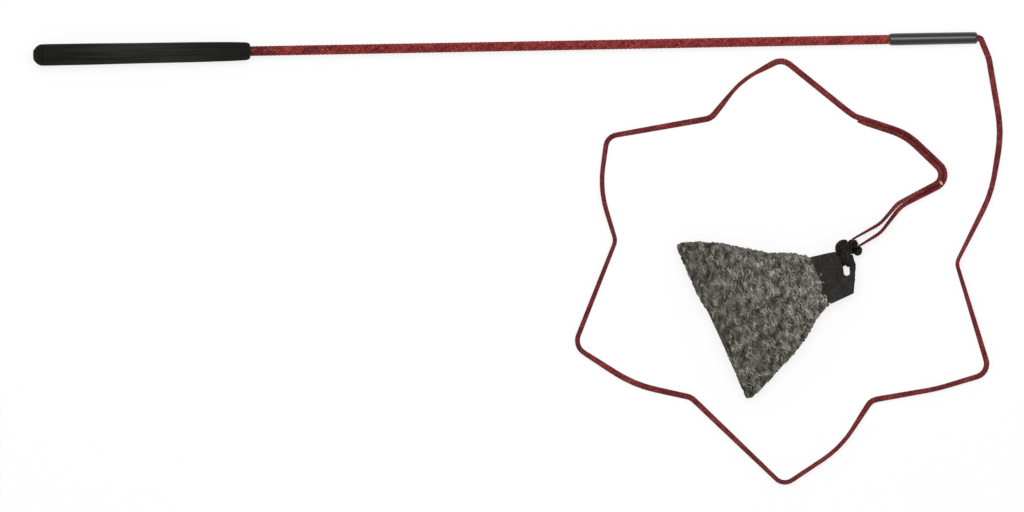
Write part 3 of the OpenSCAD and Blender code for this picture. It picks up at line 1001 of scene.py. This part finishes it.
def fleece_under(s):
    neck = MOUTH_HALF + 0.0006
    return (neck + (TAB_H + 0.002 - MOUTH_HALF) * fleece_swell(s)) * max(0.15, rounding(s))


def fleece_mid(s):
    share = max(0.0, s) / FLEECE_LEN
    neck = NECK_SHIFT * math.exp(-((s - 0.016) / 0.012) ** 2)
    return TAB_OFF * (1 - share) + SIDE_DENT * math.sin(math.pi * min(1.0, share / 0.65)) - neck


def fleece_point(s, angle, inset=0.0):
    """A point on the hide: angle 0 to 180 goes over the top from side to side, 180 to 360 underneath."""
    half = max(0.001, fleece_half(s) - inset)
    if s < 0:
        half = min(half, TAB_W / 2 - 0.003)
    across = half * math.cos(angle)
    rise = abs(math.sin(angle)) ** 0.7
    if s < 0:
        height = (TONGUE_T - 0.0003) * math.sin(angle)
    elif angle <= math.pi:
        height = max(0.0, fleece_top(s) - inset) * rise
    else:
        height = -min(max(0.0, fleece_under(s) - inset) * rise, TAB_H - 0.0002 - inset / 2)
    # One corner of the base flares, and the base edge has a step in it: one third of it reaches further
    share = max(0.0, s) / FLEECE_LEN
    across += BASE_FLARE * share ** 4 * max(0.0, math.cos(angle))
    step = BASE_STEP * share ** 3 * math.tanh((across + 0.015) / 0.008)
    return Vector((TAB_LEN + s - step, fleece_mid(s) + across, height))


def add_fleece_pad():
    """The closed pad of both hides under the curls."""
    straight = FLEECE_LEN - CORNER_R
    stations = [-0.005, -0.0002, 0.0002, 0.003] + [straight * k / 22 for k in range(1, 23)]
    for degrees in (15, 30, 45, 58, 70, 80, 86):
        stations.append(straight + CORNER_R * math.sin(math.radians(degrees)))
    around = 64
    inset = 0.0012
    points = []
    for s in stations:
        for k in range(around):
            points.append(fleece_point(min(s, FLEECE_LEN - 0.001), 2 * math.pi * k / around, inset))
    faces = []
    for i in range(len(stations) - 1):
        for k in range(around):
            a, b = i * around + k, i * around + (k + 1) % around
            faces.append((a, b, b + around, a + around))
    faces.append(tuple(reversed(range(around))))
    last = (len(stations) - 1) * around
    faces.append(tuple(range(last, last + around)))
    pad = mesh_piece("fleece_pad", points, faces)
    select_only(pad)
    bpy.ops.object.mode_set(mode="EDIT")
    bpy.ops.mesh.select_all(action="SELECT")
    bpy.ops.mesh.normals_make_consistent(inside=False)
    bpy.ops.object.mode_set(mode="OBJECT")
    settle(pad, LURE_PLACE)
    smooth(pad, 60)
    # The hide takes a low tone, so that it shows dark between the curls: painted shade deep in the fleece
    tones = pad.data.attributes.new("tone", "FLOAT", "POINT")
    tones.data.foreach_set("value", [0.12] * len(pad.data.vertices))
    return pad


WOOL_SHADES = [srgb(54, 50, 45), srgb(98, 95, 86), srgb(146, 142, 131), srgb(200, 195, 186)]


def curl_place(draw, s, place, top):
    """A spot on the hide for one curl, with the hide's outward direction there."""
    low = 0.02
    angle = math.acos(max(-1.0, min(1.0, 1 - 2 * place)))
    angle = min(max(angle, low), math.pi - low)
    if not top:
        angle = 2 * math.pi - angle
    at_s = min(s + draw.uniform(-0.0012, 0.0012), FLEECE_LEN - 0.0008)
    inset = 0.0016
    base = fleece_point(at_s, angle, inset)
    ahead = fleece_point(min(at_s + 0.001, FLEECE_LEN - 0.0005), angle, inset) - base
    beside = fleece_point(at_s, angle + 0.02, inset) - base
    normal = ahead.cross(beside).normalized()
    if (normal.z < 0) == top:
        normal = -normal
    if at_s < 0:
        over = MOUTH_HALF - 0.0002
        base.z = max(base.z, over) if top else min(base.z, -over)
        normal = Vector((0, 0, 1 if top else -1))
    return base, normal


CURL_SPACING = 0.0034
CURL_RINGS = 8
CURL_SIDES = 4


def curl_spots(draw, top):
    """Spots for the curls on one side: rows across the hide, then rows along the wall of its base edge."""
    spots = []
    s = -0.002
    while s < FLEECE_LEN - 0.0008:
        width = 2 * fleece_half(s)
        count = max(4, int(width / CURL_SPACING))
        edges = [0.0, 0.0004 / width, 0.002 / width]
        places = edges + [1 - place for place in edges]
        places += [(k + draw.uniform(0.1, 0.9)) / count for k in range(count)]
        for place in places:
            tuft = math.sin(place * 21) + math.sin(place * 13 + 1)
            if s < 0.001 and (tuft < 0.3 or not 0.15 < place < 0.85):
                continue
            # Curls at the edges are short
            at_edge = min(place, 1 - place) * width < 0.004 or not 0.001 < s < FLEECE_LEN - 0.004
            base, normal = curl_place(draw, s, place, top)
            spots.append((base, normal, max(0.0, s) / FLEECE_LEN, 0.6 if at_edge else 1.0))
        s += CURL_SPACING * 0.85
    wall = FLEECE_LEN - 0.0015
    count = int(2 * fleece_half(wall) / CURL_SPACING)
    for level in (0.15, 0.5, 0.85):
        for k in range(count):
            angle = math.acos(1 - 2 * (k + draw.uniform(0.1, 0.9)) / count)
            base = fleece_point(wall, angle if top else 2 * math.pi - angle, 0.0012)
            base.z *= level
            spots.append((base, Vector((1, 0, 0)), 1.0, 0.6))
    return spots


def curl_points(draw, base, normal, size):
    """The rings of one curl: a short coil of a four-sided fibre that lies on the hide, longer across it."""
    lie = Vector((draw.gauss(0, 0.5), draw.choice((-1, 1)), 0)).normalized()
    first = (lie - normal * lie.dot(normal)).normalized()
    lean = draw.uniform(0.2, 1.1)
    second = (normal.cross(first) * math.cos(lean) + normal * math.sin(lean)).normalized()
    third = first.cross(second)
    radius = size * draw.uniform(0.0012, 0.0018)
    stretch = draw.uniform(1.3, 2.1)
    thick = size * draw.uniform(0.0009, 0.0014)
    turns = draw.uniform(0.6, 1.1) * 2 * math.pi
    start_turn = draw.uniform(0, 2 * math.pi)
    centre = base + normal * draw.uniform(0.0, 0.0012)
    # Each curl is pressed flat at its own level over the floor
    lowest = -TAB_H + 0.0002 + draw.uniform(0.0, 0.0006)
    points = []
    for i in range(CURL_RINGS):
        way = i / (CURL_RINGS - 1)
        turn = start_turn + turns * way
        out = first * math.cos(turn) * stretch + second * math.sin(turn)
        spot = centre + out * radius * (1 - 0.25 * way) + third * (way - 0.5) * 0.001
        taper = thick * (0.5 + 0.5 * math.sin(math.pi * way))
        for corner in range(CURL_SIDES):
            swing = 2 * math.pi * corner / CURL_SIDES
            point = spot + taper * (math.cos(swing) * out.normalized() + math.sin(swing) * third)
            point.z = max(point.z, lowest)
            points.append(point)
    return points


def add_curls(name, draw, top):
    """Curls of wool over one side."""
    points, faces, tones = [], [], []
    for base, normal, share, size in curl_spots(draw, top):
        begin = len(points)
        tone = draw.uniform(0.15, 0.8) + 0.25 - 0.5 * share
        for point in curl_points(draw, base, normal, size):
            points.append(point)
            # The tone rises with the height over the hide: painted shade at the roots, painted highlight at
            # the tips
            rise = (point - base).dot(normal)
            tones.append(min(1.0, max(0.0, tone * 0.75 + 90 * rise)))
        for i in range(CURL_RINGS - 1):
            for corner in range(CURL_SIDES):
                a = begin + i * CURL_SIDES + corner
                b = begin + i * CURL_SIDES + (corner + 1) % CURL_SIDES
                faces.append((a, b, b + CURL_SIDES, a + CURL_SIDES))
        end = begin + CURL_SIDES * (CURL_RINGS - 1)
        faces.append(tuple(begin + corner for corner in reversed(range(CURL_SIDES))))
        faces.append(tuple(end + corner for corner in range(CURL_SIDES)))
    curls = mesh_piece(name, points, faces)
    settle(curls, LURE_PLACE)
    values = curls.data.attributes.new("tone", "FLOAT", "POINT")
    values.data.foreach_set("value", tones)
    curls.data.polygons.foreach_set("use_smooth", [True] * len(curls.data.polygons))
    return curls


def add_fleece():
    wool = wool_paint("grey_brown_wool", WOOL_SHADES, srgb(246, 240, 255))
    pad = add_fleece_pad()
    dress(pad, wool, "lure", ("fleece_front", "fleece_back"))
    for name, top, seed in (("fleece_curls_front", True, 21), ("fleece_curls_back", False, 22)):
        curls = add_curls(name, random.Random(seed), top)
        dress(curls, wool, "lure")


def paint_inner_pieces():
    finishes = {
        "core_rod": (srgb(196, 186, 150), srgb(224, 216, 188), 900),
        "grip_tape": (srgb(206, 200, 184), srgb(232, 228, 216), 1500),
        "lash_binding": (srgb(70, 20, 22), srgb(120, 44, 44), 2200),
        "lash_tail": (srgb(70, 20, 24), srgb(120, 40, 44), 1600),
    }
    for node, (dark, light, scale) in finishes.items():
        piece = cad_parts[node]
        piece.data.materials.clear()
        piece.data.materials.append(inner_paint(node + "_finish", dark, light, scale))


# The stage

# Share of the floor's white that has no shadow in it
FLOOR_GLOW = 0.78


def add_stage():
    deselect_all()
    bpy.ops.mesh.primitive_plane_add(size=8, location=(VIEW_CENTRE[0], VIEW_CENTRE[1], FLOOR_Z - 0.0002))
    floor = bpy.context.object
    floor.name = "floor"
    paint = Paint("white_floor", Roughness=0.9, Specular_IOR_Level=0.0)
    paint.colour(srgb(252, 252, 252))
    seen = 0.0
    for ray in ("Is Camera Ray", "Is Glossy Ray", "Is Transmission Ray"):
        seen = paint.node("ShaderNodeLightPath", out=ray) + seen
    paint.add_glow(seen * FLOOR_GLOW)
    floor.data.materials.append(paint.material)

    world = bpy.data.worlds.new("studio")
    world.use_nodes = True
    nodes, links = world.node_tree.nodes, world.node_tree.links
    background = nodes["Background"]
    background.inputs["Color"].default_value = (1, 1, 1, 1)
    path = nodes.new("ShaderNodeLightPath")
    strength = nodes.new("ShaderNodeMapRange")
    strength.inputs["To Min"].default_value = 0.55
    strength.inputs["To Max"].default_value = 1.0
    links.new(path.outputs["Is Camera Ray"], strength.inputs["Value"])
    links.new(strength.outputs["Result"], background.inputs["Strength"])
    bpy.context.scene.world = world

    data = bpy.data.lights.new("key", "AREA")
    data.shape = "RECTANGLE"
    data.size = 3.0
    data.size_y = 1.6
    data.energy = 42
    key = bpy.data.objects.new("key", data)
    key.location = (0.46, 0.5, 2.4)
    direction = Vector((0.46, -0.2, 0)) - key.location
    key.rotation_euler = direction.to_track_quat("-Z", "Y").to_euler()
    bpy.context.scene.collection.objects.link(key)


add_camera()
add_lash()
add_cover()
add_grip()
add_ferrule()
add_thong()
add_tab()
add_tab_stitches()
add_fleece()
paint_inner_pieces()
add_stage()
bpy.context.scene.view_settings.view_transform = "Standard"
deselect_all()
